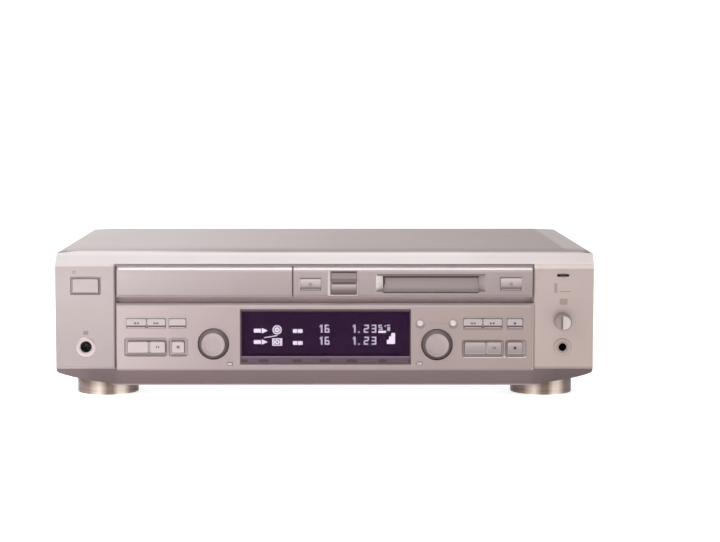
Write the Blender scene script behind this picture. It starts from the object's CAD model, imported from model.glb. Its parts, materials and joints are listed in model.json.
import json
import math
import bmesh
import bpy
from mathutils import Matrix, Vector


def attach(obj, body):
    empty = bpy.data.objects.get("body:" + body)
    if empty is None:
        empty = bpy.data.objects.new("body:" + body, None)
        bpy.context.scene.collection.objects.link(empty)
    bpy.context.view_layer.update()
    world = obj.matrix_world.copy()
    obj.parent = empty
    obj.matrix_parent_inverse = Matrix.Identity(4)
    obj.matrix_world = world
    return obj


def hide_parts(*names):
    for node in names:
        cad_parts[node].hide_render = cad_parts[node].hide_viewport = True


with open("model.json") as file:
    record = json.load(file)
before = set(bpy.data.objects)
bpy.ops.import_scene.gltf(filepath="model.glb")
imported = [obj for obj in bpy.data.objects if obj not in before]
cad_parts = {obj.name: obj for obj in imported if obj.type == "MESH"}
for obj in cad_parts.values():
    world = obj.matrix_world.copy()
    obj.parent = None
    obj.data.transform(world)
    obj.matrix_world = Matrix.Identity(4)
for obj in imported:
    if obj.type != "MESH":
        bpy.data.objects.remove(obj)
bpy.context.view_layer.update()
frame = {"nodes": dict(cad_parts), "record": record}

SY = -139.9                      # front face of the deck, mm behind the origin


def M(x, y, z):
    """mm in the deck's own measures (y from the front face) to metres in the row frame"""
    return Vector((x / 1000.0, (y + SY) / 1000.0, z / 1000.0))


# =====================================================================
#  camera, floor, light
# =====================================================================
cam_data = bpy.data.cameras.new("camera")
cam = bpy.data.objects.new("camera", cam_data)
bpy.context.scene.collection.objects.link(cam)
bpy.context.scene.camera = cam
cam_data.sensor_fit = "HORIZONTAL"
cam_data.sensor_width = 36.0
cam_data.lens = 101.95
cam_data.shift_x = 0.0494
cam_data.shift_y = 0.0
cam_data.clip_start = 0.05
cam_data.clip_end = 60.0
PITCH = math.radians(5.12)
cam.location = (0.0, -1.760, 0.248)
cam.rotation_euler = (math.radians(90.0) - PITCH, 0.0, 0.0)

scene = bpy.context.scene
scene.view_settings.view_transform = "Standard"
scene.view_settings.look = "None"
scene.view_settings.exposure = 0.0

world = bpy.data.worlds.new("studio")
scene.world = world
world.use_nodes = True
wn = world.node_tree.nodes
wn["Background"].inputs["Color"].default_value = (1.0, 0.965, 0.955, 1.0)
wn["Background"].inputs["Strength"].default_value = 0.27


def area(name, loc, target, size, power, color=(1, 1, 1), size_y=None):
    d = bpy.data.lights.new(name, "AREA")
    d.shape = "RECTANGLE"
    d.size = size
    d.size_y = size_y or size
    d.energy = power
    d.color = color
    o = bpy.data.objects.new(name, d)
    scene.collection.objects.link(o)
    o.location = loc
    o.rotation_euler = (Vector(target) - Vector(loc)).to_track_quat("-Z", "Y").to_euler()
    return o


area("key_light", (-0.78, -1.02, 0.82), (-0.12, -0.08, 0.05), 0.6, 6.6, (1.0, 0.965, 0.985))
area("brow_light", (0.12, -0.55, 1.7), (0.05, -0.12, 0.1), 1.4, 6.6, (1.0, 0.985, 0.98), 0.7)
area("edge_light", (0.0, -1.35, 1.75), (0.0, -0.14, 0.1), 1.5, 1.8, (1.0, 0.985, 0.98), 0.5)
area("right_strip", (1.7, -1.0, 0.7), (0.12, -0.1, 0.06), 0.5, 3.4, (1.0, 0.93, 0.86), 1.4)
area("cover_light", (-1.15, 0.15, 0.78), (-0.17, 0.0, 0.11), 0.5, 19.0, (1.0, 0.965, 0.99))
left_soft = area("left_soft", (-0.40, -0.68, 0.36), (-0.165, -0.14, 0.06), 0.30, 0.05, (1.0, 0.97, 0.985))
left_soft.data.spread = math.radians(50)
area("backdrop_light", (0.0, 1.2, 1.9), (0.0, 2.6, 0.9), 2.4, 12.0)


# =====================================================================
#  node materials
# =====================================================================
def new_mat(name):
    m = bpy.data.materials.new(name)
    m.use_nodes = True
    nt = m.node_tree
    for n in list(nt.nodes):
        if n.type not in ("BSDF_PRINCIPLED", "OUTPUT_MATERIAL"):
            nt.nodes.remove(n)
    return m, nt, nt.nodes["Principled BSDF"]


def coords(nt, scale=(1, 1, 1)):
    tc = nt.nodes.new("ShaderNodeTexCoord")
    mp = nt.nodes.new("ShaderNodeMapping")
    mp.inputs["Scale"].default_value = scale
    nt.links.new(tc.outputs["Object"], mp.inputs["Vector"])
    return mp.outputs["Vector"]


def noise(nt, vec, scale, detail=3.0, rough=0.5):
    n = nt.nodes.new("ShaderNodeTexNoise")
    n.inputs["Scale"].default_value = scale
    n.inputs["Detail"].default_value = detail
    n.inputs["Roughness"].default_value = rough
    nt.links.new(vec, n.inputs["Vector"])
    return n.outputs["Fac"]


def ramp(nt, fac, stops):
    r = nt.nodes.new("ShaderNodeValToRGB")
    el = r.color_ramp.elements
    while len(el) < len(stops):
        el.new(0.5)
    for e, (p, c) in zip(el, stops):
        e.position = p
        e.color = (c[0], c[1], c[2], 1.0)
    nt.links.new(fac, r.inputs["Fac"])
    return r.outputs["Color"]


def span(nt, fac, lo, hi, a=0.3, b=0.7):
    r = nt.nodes.new("ShaderNodeMapRange")
    r.inputs["From Min"].default_value = a
    r.inputs["From Max"].default_value = b
    r.inputs["To Min"].default_value = lo
    r.inputs["To Max"].default_value = hi
    nt.links.new(fac, r.inputs["Value"])
    return r.outputs["Result"]


def tint(c, k):
    return tuple(max(0.0, min(1.0, v * k)) for v in c)


def bump(nt, bsdf, height, strength, distance, edge=0.0):
    b = nt.nodes.new("ShaderNodeBump")
    b.inputs["Strength"].default_value = strength
    b.inputs["Distance"].default_value = distance
    nt.links.new(height, b.inputs["Height"])
    if edge:
        bv = nt.nodes.new("ShaderNodeBevel")
        bv.samples = 4
        bv.inputs["Radius"].default_value = edge
        nt.links.new(bv.outputs["Normal"], b.inputs["Normal"])
    nt.links.new(b.outputs["Normal"], bsdf.inputs["Normal"])
    return b


def finish_mat(name, base, metallic=0.0, rough=0.4, var=0.05, patch=7.0, grain=1800.0, grain_bump=0.15,
               stretch=(1, 1, 1), rough_var=0.06, edge=0.0002, coat=0.0, spec=None, aniso=0.0):
    """A finish: large soft patches in colour, fine grain in roughness and relief."""
    m, nt, p = new_mat(name)
    big = noise(nt, coords(nt), patch, 3.0)
    fine_v = coords(nt, stretch)
    fine = noise(nt, fine_v, grain, 2.0, 0.6)
    mixf = nt.nodes.new("ShaderNodeMath")
    mixf.operation = "MULTIPLY_ADD"
    nt.links.new(fine, mixf.inputs[0])
    mixf.inputs[1].default_value = 0.5
    half_big = nt.nodes.new("ShaderNodeMath")
    half_big.operation = "MULTIPLY"
    half_big.inputs[1].default_value = 0.5
    nt.links.new(big, half_big.inputs[0])
    nt.links.new(half_big.outputs[0], mixf.inputs[2])
    col = ramp(nt, mixf.outputs[0], [(0.32, tint(base, 1.0 - var)), (0.68, tint(base, 1.0 + var))])
    nt.links.new(col, p.inputs["Base Color"])
    p.inputs["Metallic"].default_value = metallic
    nt.links.new(span(nt, fine, rough - rough_var, rough + rough_var), p.inputs["Roughness"])
    if coat:
        p.inputs["Coat Weight"].default_value = coat
        p.inputs["Coat Roughness"].default_value = 0.12
    if spec is not None:
        p.inputs["Specular IOR Level"].default_value = spec
    if aniso:
        p.inputs["Anisotropic"].default_value = aniso
    bump(nt, p, fine, grain_bump, 0.00004, edge)
    return m


def graded(name, axis, lo, hi, stops, metallic=0.2, rough=0.4, var=0.05, grain=2600.0):
    """A finish whose tone runs along one of the deck's own axes (positions in metres)."""
    m, nt, p = new_mat(name)
    tc = nt.nodes.new("ShaderNodeTexCoord")
    sp = nt.nodes.new("ShaderNodeSeparateXYZ")
    nt.links.new(tc.outputs["Object"], sp.inputs["Vector"])
    mr = nt.nodes.new("ShaderNodeMapRange")
    mr.inputs["From Min"].default_value = lo
    mr.inputs["From Max"].default_value = hi
    nt.links.new(sp.outputs[axis], mr.inputs["Value"])
    col = ramp(nt, mr.outputs["Result"], stops)
    fine = noise(nt, coords(nt), grain, 2.0, 0.6)
    mx = nt.nodes.new("ShaderNodeMix")
    mx.data_type = "RGBA"
    mx.blend_type = "MULTIPLY"
    nt.links.new(span(nt, fine, 0.0, 1.0), mx.inputs["Factor"])
    nt.links.new(col, mx.inputs["A"])
    mx.inputs["B"].default_value = (1.0 - var, 1.0 - var, 1.0 - var, 1.0)
    nt.links.new(mx.outputs["Result"], p.inputs["Base Color"])
    p.inputs["Metallic"].default_value = metallic
    nt.links.new(span(nt, fine, rough - 0.05, rough + 0.05), p.inputs["Roughness"])
    bump(nt, p, fine, 0.08, 0.00004)
    return m


FACE = (0.505, 0.440, 0.435)
mat = {}
mat["front_silver"] = finish_mat("front_silver", FACE, 0.55, 0.36, 0.035, 9.0, 2600.0, 0.12, edge=0.00035)
UPPER = finish_mat("upper_silver", (0.455, 0.395, 0.39), 0.50, 0.34, 0.035, 9.0, 2600.0, 0.12, edge=0.00035)
mat["cover_silver"] = finish_mat("cover_silver", (0.355, 0.318, 0.318), 0.08, 0.55, 0.04, 6.0, 2200.0, 0.22, edge=0.0003)
mat["key_silver"] = finish_mat("key_silver", (0.495, 0.430, 0.428), 0.45, 0.33, 0.03, 20.0, 2600.0, 0.08, edge=0.0002)
mat["key_dark"] = finish_mat("key_dark", (0.235, 0.195, 0.195), 0.45, 0.24, 0.05, 40.0, 2600.0, 0.06, edge=0.0002, coat=0.4)
mat["dial_metal"] = finish_mat("dial_metal", (0.56, 0.50, 0.49), 0.8, 0.30, 0.03, 30.0, 2200.0, 0.08)
mat["zinc_steel"] = finish_mat("zinc_steel", (0.52, 0.53, 0.53), 0.85, 0.38, 0.10, 30.0, 900.0, 0.15, rough_var=0.10)
mat["drive_steel"] = finish_mat("drive_steel", (0.50, 0.50, 0.51), 0.9, 0.30, 0.06, 40.0, 1500.0, 0.10, (1, 18, 18))
mat["black_plastic"] = finish_mat("black_plastic", (0.022, 0.022, 0.024), 0.0, 0.48, 0.15, 60.0, 2600.0, 0.30)
mat["tray_plastic"] = finish_mat("tray_plastic", (0.045, 0.045, 0.050), 0.0, 0.42, 0.12, 50.0, 2600.0, 0.30)
mat["white_acetal"] = finish_mat("white_acetal", (0.72, 0.70, 0.64), 0.0, 0.38, 0.04, 60.0, 2000.0, 0.15)
mat["core_steel"] = finish_mat("core_steel", (0.085, 0.075, 0.065), 0.6, 0.45, 0.15, 80.0, 1200.0, 0.3, (1, 1, 40))
mat["plated"] = finish_mat("plated", (0.55, 0.50, 0.48), 0.95, 0.22, 0.04, 60.0, 2600.0, 0.06)
mat["screw_black"] = finish_mat("screw_black", (0.03, 0.03, 0.03), 0.4, 0.35, 0.1, 90.0, 2600.0, 0.1)
mat["shaft_brass"] = finish_mat("shaft_brass", (0.55, 0.40, 0.16), 0.95, 0.28, 0.06, 90.0, 2000.0, 0.1)
mat["foot_metal"] = finish_mat("foot_metal", (0.66, 0.56, 0.48), 1.0, 0.20, 0.04, 30.0, 1800.0, 0.08, (1, 1, 30), aniso=0.5)


def board_mat():
    m, nt, p = new_mat("board")
    v = coords(nt, (1, 1, 1))
    br = nt.nodes.new("ShaderNodeTexVoronoi")
    br.feature = "DISTANCE_TO_EDGE"
    br.inputs["Scale"].default_value = 260.0
    nt.links.new(v, br.inputs["Vector"])
    col = ramp(nt, br.outputs["Distance"], [(0.02, (0.085, 0.055, 0.028)), (0.05, (0.050, 0.030, 0.016))])
    nt.links.new(col, p.inputs["Base Color"])
    nt.links.new(span(nt, noise(nt, v, 400.0), 0.30, 0.45), p.inputs["Roughness"])
    bump(nt, p, br.outputs["Distance"], 0.2, 0.00003)
    return m


def glass_mat():
    m, nt, p = new_mat("dark_glass")
    v = coords(nt)
    col = ramp(nt, noise(nt, v, 14.0), [(0.3, (0.0230, 0.0015, 0.0310)), (0.7, (0.0275, 0.0025, 0.0360))])
    nt.links.new(col, p.inputs["Base Color"])
    nt.links.new(span(nt, noise(nt, v, 900.0), 0.05, 0.09), p.inputs["Roughness"])
    p.inputs["Alpha"].default_value = 0.45
    p.inputs["Specular IOR Level"].default_value = 0.12
    m.surface_render_method = "BLENDED"
    return m


def tube_mat():
    m, nt, p = new_mat("tube_glass")
    v = coords(nt)
    col = ramp(nt, noise(nt, v, 30.0), [(0.3, (0.015, 0.005, 0.019)), (0.7, (0.020, 0.007, 0.025))])
    nt.links.new(col, p.inputs["Base Color"])
    nt.links.new(span(nt, noise(nt, v, 300.0), 0.15, 0.25), p.inputs["Roughness"])
    return m


def glow_mat(name, color, strength):
    m, nt, p = new_mat(name)
    v = coords(nt)
    cell = noise(nt, v, 1500.0, 1.0)
    col = ramp(nt, cell, [(0.3, tint(color, 0.86)), (0.7, color)])
    nt.links.new(col, p.inputs["Emission Color"])
    nt.links.new(col, p.inputs["Base Color"])
    p.inputs["Emission Strength"].default_value = strength
    p.inputs["Roughness"].default_value = 0.6
    return m


mat["slot_flap"] = graded("slot_flap", "Z", 0.0865, 0.0985,
                          [(0.0, (0.56, 0.48, 0.48)), (0.35, (0.40, 0.34, 0.34)), (1.0, (0.33, 0.28, 0.28))], 0.3, 0.38)
RECESS = finish_mat("recess_paint", (0.515, 0.400, 0.400), 0.15, 0.46, 0.07, 24.0, 2400.0, 0.10, edge=0.0)
LEDGE = finish_mat("recess_ledge", (0.300, 0.225, 0.225), 0.1, 0.5, 0.08, 24.0, 2400.0, 0.08, edge=0.0)
GROOVE = finish_mat("groove_shadow", (0.17, 0.13, 0.13), 0.1, 0.55, 0.08, 60.0, 2600.0, 0.05, edge=0.0)
GROOVE_SOFT = finish_mat("groove_soft", (0.30, 0.24, 0.24), 0.1, 0.5, 0.08, 60.0, 2600.0, 0.05, edge=0.0)
GROOVE_PALE = finish_mat("groove_pale", (0.50, 0.43, 0.41), 0.1, 0.5, 0.06, 60.0, 2600.0, 0.05, edge=0.0)
GAP_TOP = finish_mat("brow_gap", (0.34, 0.285, 0.295), 0.1, 0.5, 0.08, 60.0, 2600.0, 0.05, edge=0.0)
EDGE_UP = finish_mat("edge_upper", (0.72, 0.64, 0.64), 0.3, 0.4, 0.05, 60.0, 2600.0, 0.05, edge=0.0)
EDGE_SOFT = finish_mat("edge_soft", (0.47, 0.415, 0.415), 0.3, 0.38, 0.04, 60.0, 2600.0, 0.05, edge=0.0)
CHAMFER_LOW = finish_mat("fascia_top_edge", (0.285, 0.235, 0.236), 0.3, 0.42, 0.05, 60.0, 2600.0, 0.05, edge=0.0)
OUTLINE_R = finish_mat("gap_shadow_right", (0.37, 0.31, 0.305), 0.1, 0.50, 0.06, 60.0, 2600.0, 0.05, edge=0.0)
OUTLINE = finish_mat("gap_shadow", (0.235, 0.190, 0.190), 0.1, 0.50, 0.06, 60.0, 2600.0, 0.05, edge=0.0)
EDGE_DULL = finish_mat("edge_dull", (0.455, 0.395, 0.39), 0.4, 0.36, 0.04, 60.0, 2600.0, 0.05, edge=0.0)
CUT_A = finish_mat("bright_cut", (0.88, 0.83, 0.82), 0.25, 0.26, 0.03, 60.0, 2600.0, 0.05, edge=0.0)
CUT_B = finish_mat("bright_cut_soft", (0.50, 0.44, 0.44), 0.35, 0.28, 0.03, 60.0, 2600.0, 0.05, edge=0.0)
BRUSH = finish_mat("slot_brush", (0.060, 0.042, 0.044), 0.0, 0.60, 0.15, 90.0, 3000.0, 0.30, edge=0.0)
mat["board"] = board_mat()
mat["dark_glass"] = glass_mat()
mat["tube_glass"] = tube_mat()
GLOW = glow_mat("display_glow", (0.88, 0.80, 0.93), 3.3)
GLOW_DIM = glow_mat("display_glow_dim", (0.80, 0.72, 0.90), 1.9)
INK = finish_mat("print_ink", (0.115, 0.095, 0.10), 0.0, 0.5, 0.10, 90.0, 3000.0, 0.05, edge=0.0)
INK_SOFT = finish_mat("print_ink_soft", (0.24, 0.195, 0.195), 0.0, 0.5, 0.10, 90.0, 3000.0, 0.05, edge=0.0)
INK_DARK = finish_mat("print_ink_dark", (0.035, 0.028, 0.032), 0.0, 0.5, 0.10, 90.0, 3000.0, 0.05, edge=0.0)



def zones(m):
    """helpers that lay one tone over another inside a zone of the deck's own axes (metres)"""
    nt = m.node_tree
    tc = nt.nodes.new("ShaderNodeTexCoord")
    sp = nt.nodes.new("ShaderNodeSeparateXYZ")
    nt.links.new(tc.outputs["Object"], sp.inputs["Vector"])
    ab = nt.nodes.new("ShaderNodeMath")
    ab.operation = "ABSOLUTE"
    nt.links.new(sp.outputs["X"], ab.inputs[0])

    def edge(axis, a, b, top=1.0):
        mr = nt.nodes.new("ShaderNodeMapRange")
        mr.inputs["From Min"].default_value = a
        mr.inputs["From Max"].default_value = b
        mr.inputs["To Max"].default_value = top
        nt.links.new(ab.outputs[0] if axis == "W" else sp.outputs[axis], mr.inputs["Value"])
        return mr.outputs["Result"]

    def both(*facs):
        out = facs[0]
        for f in facs[1:]:
            mm = nt.nodes.new("ShaderNodeMath")
            mm.operation = "MULTIPLY"
            nt.links.new(out, mm.inputs[0])
            nt.links.new(f, mm.inputs[1])
            out = mm.outputs[0]
        return out

    def over(under, fac, tone_, var=0.03, patch=16.0):
        top_ = ramp(nt, noise(nt, coords(nt), patch), [(0.3, tint(tone_, 1.0 - var)), (0.7, tint(tone_, 1.0 + var))])
        mx = nt.nodes.new("ShaderNodeMix")
        mx.data_type = "RGBA"
        nt.links.new(fac, mx.inputs["Factor"])
        nt.links.new(under, mx.inputs["A"])
        nt.links.new(top_, mx.inputs["B"])
        return mx.outputs["Result"]

    return nt, edge, both, over


def keel_paint():
    """front silver: brighter brow, darker lower slope, lit line along the tops of the cheeks"""
    m = mat["front_silver"].copy()
    m.name = "bezel_silver"
    nt, edge, both, over = zones(m)
    p = nt.nodes["Principled BSDF"]
    col = p.inputs["Base Color"].links[0].from_socket
    # cheeks: duller towards the foot, the right one warmer
    for way, high, low in ((-1, (0.485, 0.420, 0.418), (0.360, 0.312, 0.310)), (1, (0.545, 0.455, 0.430), (0.450, 0.368, 0.345))):
        col = over(col, both(edge("X", way * 0.1672, way * 0.1676), edge("Z", 0.1085, 0.1083)), high)
        col = over(col, both(edge("X", way * 0.1672, way * 0.1676), edge("Z", 0.092, 0.027)), low)
    # brow, its brighter crest and the shaded turn at its top
    col = over(col, edge("Z", 0.1083, 0.1087), (0.622, 0.590, 0.590))
    col = over(col, both(edge("Z", 0.1138, 0.1158)), (0.680, 0.640, 0.640))
    col = over(col, both(edge("Z", 0.1083, 0.1087), edge("X", 0.10, 0.21)), (0.575, 0.525, 0.520))
    col = over(col, both(edge("Z", 0.1165, 0.1176), edge("X", -0.16, -0.06, 0.85)), (0.270, 0.225, 0.232))
    # lit line along the tops of the cheeks
    col = over(col, both(edge("Z", 0.1062, 0.1068), edge("Z", 0.1088, 0.1083), edge("X", -0.05, -0.06)), (0.640, 0.575, 0.565))
    col = over(col, both(edge("Z", 0.1042, 0.1052), edge("Z", 0.1088, 0.1083), edge("X", 0.05, 0.06)), (0.760, 0.665, 0.625))
    # shaded foot of the brow over the centre panels
    col = over(col, both(edge("Z", 0.1086, 0.1083), edge("Z", 0.1070, 0.1072), edge("W", 0.1676, 0.1674)), (0.150, 0.115, 0.120))
    # line between the cheeks and the keel, then the keel with its darker ends and paler foot
    col = over(col, both(edge("Z", 0.0262, 0.0256), edge("W", 0.1674, 0.1676)), (0.300, 0.245, 0.245))
    col = over(col, both(edge("Z", 0.0252, 0.0248), edge("W", 0.1676, 0.1674)), (0.162, 0.117, 0.120))
    col = over(col, both(edge("Z", 0.0243, 0.0239), edge("W", 0.1674, 0.1676)), (0.150, 0.108, 0.112))
    col = over(col, both(edge("Z", 0.0243, 0.0239), edge("W", 0.162, 0.186)), (0.108, 0.076, 0.078))
    col = over(col, both(edge("Z", 0.0102, 0.0096), edge("Y", -0.118, -0.124)), (0.34, 0.275, 0.275))
    nt.links.new(col, p.inputs["Base Color"])
    return m


def cover_paint():
    """cover sheet: duller to the right, shaded strip behind the brow, paler slopes at the sides"""
    m = mat["cover_silver"].copy()
    m.name = "cover_sheet"
    nt, edge, both, over = zones(m)
    p = nt.nodes["Principled BSDF"]
    col = p.inputs["Base Color"].links[0].from_socket
    col = over(col, edge("X", -0.13, 0.03), (0.283, 0.245, 0.234))
    col = over(col, edge("X", 0.06, 0.20), (0.250, 0.210, 0.198))
    col = over(col, both(edge("W", 0.195, 0.198), edge("Z", 0.110, 0.112)), (0.345, 0.312, 0.305))
    col = over(col, both(edge("Y", -0.070, -0.098, 0.30), edge("Z", 0.1150, 0.1160)), (0.215, 0.175, 0.178))
    col = over(col, both(edge("Y", -0.086, -0.114), edge("X", -0.19, -0.05, 0.92), edge("Z", 0.1150, 0.1160)), (0.165, 0.130, 0.134))
    nt.links.new(col, p.inputs["Base Color"])
    return m


def panel_paint(name, src, gain, xs, zs):
    """panel paint whose tone runs along the deck and falls off with height"""
    m = src.copy()
    m.name = name
    nt = m.node_tree
    p = nt.nodes["Principled BSDF"]
    col = p.inputs["Base Color"].links[0].from_socket
    for e in col.node.color_ramp.elements:
        e.color = (min(1.0, e.color[0] * gain), min(1.0, e.color[1] * gain), min(1.0, e.color[2] * gain), 1.0)
    tc = nt.nodes.new("ShaderNodeTexCoord")
    sp = nt.nodes.new("ShaderNodeSeparateXYZ")
    nt.links.new(tc.outputs["Object"], sp.inputs["Vector"])
    for axis, stops in (("X", xs), ("Z", zs)):
        lo, hi = stops[0][0], stops[-1][0]
        mr = nt.nodes.new("ShaderNodeMapRange")
        mr.inputs["From Min"].default_value = lo
        mr.inputs["From Max"].default_value = hi
        nt.links.new(sp.outputs[axis], mr.inputs["Value"])
        fall = ramp(nt, mr.outputs["Result"], [((a - lo) / (hi - lo), c) for a, c in stops])
        mx = nt.nodes.new("ShaderNodeMix")
        mx.data_type = "RGBA"
        mx.blend_type = "MULTIPLY"
        mx.inputs["Factor"].default_value = 1.0
        nt.links.new(col, mx.inputs["A"])
        nt.links.new(fall, mx.inputs["B"])
        col = mx.outputs["Result"]
    nt.links.new(col, p.inputs["Base Color"])
    return m


BEZEL = keel_paint()
COVER = cover_paint()
# brighter at the left, duller and warmer at the right, duller towards the foot
LOWER_X = [(-0.165, (1.0, 0.97, 0.98)), (-0.08, (0.84, 0.80, 0.80)), (0.165, (0.79, 0.74, 0.70))]
LOWER_Z = [(0.028, (0.87, 0.87, 0.87)), (0.072, (1.0, 1.0, 1.0))]
UPPER_X = [(-0.161, (0.96, 0.97, 0.98)), (-0.06, (0.83, 0.80, 0.81)), (0.162, (0.79, 0.76, 0.76))]
UPPER_Z = [(0.083, (0.88, 0.88, 0.88)), (0.098, (1.0, 1.0, 1.0))]
LOWER = panel_paint("lower_panel_silver", mat["front_silver"], 1.0, LOWER_X, LOWER_Z)
UPPER = panel_paint("upper_panel_silver", UPPER, 1.14, UPPER_X, UPPER_Z)
mat["slider_dark"] = finish_mat("slider_dark", (0.030, 0.021, 0.018), 0.1, 0.42, 0.08, 60.0, 2600.0, 0.08)
KEY_BRIGHT = finish_mat("key_bright", (0.66, 0.575, 0.560), 0.35, 0.30, 0.03, 20.0, 2600.0, 0.08, edge=0.0002)
slots = {}
for s in frame["record"]["subparts"]:
    slots[s["node"]] = s["material_slot"]
for node, obj in frame["nodes"].items():
    m_ = {"front_bezel": BEZEL, "md_slot_flap": mat["slot_flap"], "tray_front": UPPER, "md_fascia": UPPER, "input_key": KEY_BRIGHT, "scroll_key": KEY_BRIGHT, "lower_fascia": LOWER, "timer_slider": mat["slider_dark"],
          "phones_jack": BEZEL, "top_cover": COVER}.get(node, mat[slots[node]])
    if not obj.material_slots:
        obj.data.materials.append(m_)
    for ms in obj.material_slots:
        ms.material = m_


# =====================================================================
#  mesh helpers
# =====================================================================
def to_obj(name, bm, material, body, slot_name=None, smooth=False):
    bmesh.ops.recalc_face_normals(bm, faces=bm.faces)
    me = bpy.data.meshes.new(name)
    bm.to_mesh(me)
    bm.free()
    me.materials.append(material)
    if smooth:
        for p in me.polygons:
            p.use_smooth = True
    o = bpy.data.objects.new(name, me)
    scene.collection.objects.link(o)
    if body:
        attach(o, body)
    return o


def add_prism(bm, pts, y0, y1):
    """A flat outline of (x, z) points in mm, between two depths."""
    a = [bm.verts.new(M(x, y0, z)) for x, z in pts]
    b = [bm.verts.new(M(x, y1, z)) for x, z in pts]
    n = len(pts)
    bm.faces.new(a)
    bm.faces.new(list(reversed(b)))
    for i in range(n):
        bm.faces.new((a[i], b[i], b[(i + 1) % n], a[(i + 1) % n]))


def box_pts(x0, z0, x1, z1):
    return [(x0, z0), (x1, z0), (x1, z1), (x0, z1)]


def round_pts(x0, z0, x1, z1, r, n=5):
    out = []
    for cx, cz, a0 in ((x1 - r, z0 + r, -90), (x1 - r, z1 - r, 0), (x0 + r, z1 - r, 90), (x0 + r, z0 + r, 180)):
        for i in range(n + 1):
            a = math.radians(a0 + 90.0 * i / n)
            out.append((cx + r * math.cos(a), cz + r * math.sin(a)))
    return out


def disc_pts(cx, cz, r, n=32):
    return [(cx + r * math.cos(2 * math.pi * i / n), cz + r * math.sin(2 * math.pi * i / n)) for i in range(n)]


def ring_prism(bm, outer, inner, y0, y1):
    """A closed band between two outlines with the same number of points."""
    n = len(outer)
    rows = [[bm.verts.new(M(x, y, z)) for x, z in pts] for pts, y in ((outer, y0), (outer, y1), (inner, y1), (inner, y0))]
    for k in range(4):
        p, q = rows[k], rows[(k + 1) % 4]
        for i in range(n):
            bm.faces.new((p[i], p[(i + 1) % n], q[(i + 1) % n], q[i]))


def lathe(name, prof, cx, cz, steps, material, body, slot_name=None, flutes=0, depth=0.0, band=(0, 0)):
    """prof: (radius, y) pairs from the axis and back to it; turned about the Y axis through (cx, cz)."""
    bm = bmesh.new()
    rings = []
    for r, y in prof:
        if r < 1e-6:
            rings.append([bm.verts.new(M(cx, y, cz))])
            continue
        row = []
        for i in range(steps):
            t = 2 * math.pi * i / steps
            rr = r
            if flutes and band[0] <= y <= band[1] and r > 1.0:
                rr = r - depth * (0.5 - 0.5 * math.cos(flutes * t)) ** 0.6
            row.append(bm.verts.new(M(cx + rr * math.cos(t), y, cz + rr * math.sin(t))))
        rings.append(row)
    for a, b in zip(rings, rings[1:]):
        if len(a) == 1 and len(b) == 1:
            continue
        for i in range(steps):
            j = (i + 1) % steps
            if len(a) == 1:
                bm.faces.new((a[0], b[i], b[j]))
            elif len(b) == 1:
                bm.faces.new((a[i], a[j], b[0]))
            else:
                bm.faces.new((a[i], a[j], b[j], b[i]))
    return to_obj(name, bm, material, body, slot_name, smooth=True)


def auto_smooth(o, angle=35.0):
    me = o.data
    for p in me.polygons:
        p.use_smooth = True
    me.set_sharp_from_angle(angle=math.radians(angle))


def bevel(o, width, segments=2):
    md = o.modifiers.new("bevel", "BEVEL")
    md.width = width / 1000.0
    md.segments = segments
    md.limit_method = "ANGLE"
    md.angle_limit = math.radians(40)
    md.harden_normals = False


def px(x, y):
    """front-plane (x, z) in mm of a measured place on the front"""
    return ((x - 324.4) / 1.2528, 248.0 - (y - 89.0) / 1.2528)


# floor
bm = bmesh.new()
prof = [(-3.2, 0.0), (1.2, 0.0)]
for i in range(1, 13):
    a = math.radians(90.0 * i / 12)
    prof.append((1.2 + 1.2 * math.sin(a), 1.2 - 1.2 * math.cos(a)))
prof.append((2.4, 4.0))
rows = []
for k in range(2):
    X = -5.0 if k == 0 else 5.0
    rows.append([bm.verts.new((X, y, z)) for y, z in prof])
for i in range(len(prof) - 1):
    bm.faces.new((rows[0][i], rows[1][i], rows[1][i + 1], rows[0][i + 1]))
floor_m, nt, p = new_mat("studio_floor")
col = ramp(nt, noise(nt, coords(nt), 2.0), [(0.3, (0.90, 0.895, 0.895)), (0.7, (0.93, 0.925, 0.925))])
nt.links.new(col, p.inputs["Base Color"])
p.inputs["Roughness"].default_value = 0.7
nt.links.new(col, p.inputs["Emission Color"])
# the floor is brightest under and close to the deck
fv = coords(nt, (2.1, 3.0, 0.0))
fl_len = nt.nodes.new("ShaderNodeVectorMath")
fl_len.operation = "LENGTH"
nt.links.new(fv, fl_len.inputs[0])
nt.links.new(span(nt, fl_len.outputs["Value"], 0.76, 0.36, 0.75, 1.5), p.inputs["Emission Strength"])
floor = to_obj("studio_floor", bm, floor_m, None, smooth=True)


# =====================================================================
#  display
# =====================================================================
bm = bmesh.new()
Y0, Y1 = 5.35, 5.58
DY = 0.9


def seg(x0, y0, x1, y1):
    """a lit bar given by its corners on the front"""
    a, b = px(x0, y1 + DY), px(x1, y0 + DY)
    add_prism(bm, box_pts(a[0], a[1], b[0], b[1]), Y0, Y1)


def tri(pts):
    add_prism(bm, [px(x, y + DY) for x, y in pts], Y0, Y1)


def digit(ch, x, y, w, h, t=1.35):
    """seven-bar digit with its top left corner at (x, y)"""
    on = {"0": "abcdef", "1": "bc", "2": "abged", "3": "abgcd", "4": "fgbc", "5": "afgcd", "6": "afgecd",
          "7": "abc", "8": "abcdefg", "9": "abcdfg"}[ch]
    hm = h / 2.0
    bars = {"a": (x, y, x + w, y + t), "g": (x, y + hm - t / 2, x + w, y + hm + t / 2), "d": (x, y + h - t, x + w, y + h),
            "f": (x, y, x + t, y + hm), "b": (x + w - t, y, x + w, y + hm), "e": (x, y + hm, x + t, y + h),
            "c": (x + w - t, y + hm, x + w, y + h)}
    g = 0.16
    for k in on:
        a = bars[k]
        if k in "agd":
            seg(a[0] + t * 0.55, a[1], a[2] - t * 0.55, a[3])
        else:
            seg(a[0], a[1] + g, a[2], a[3] - g)


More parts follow.
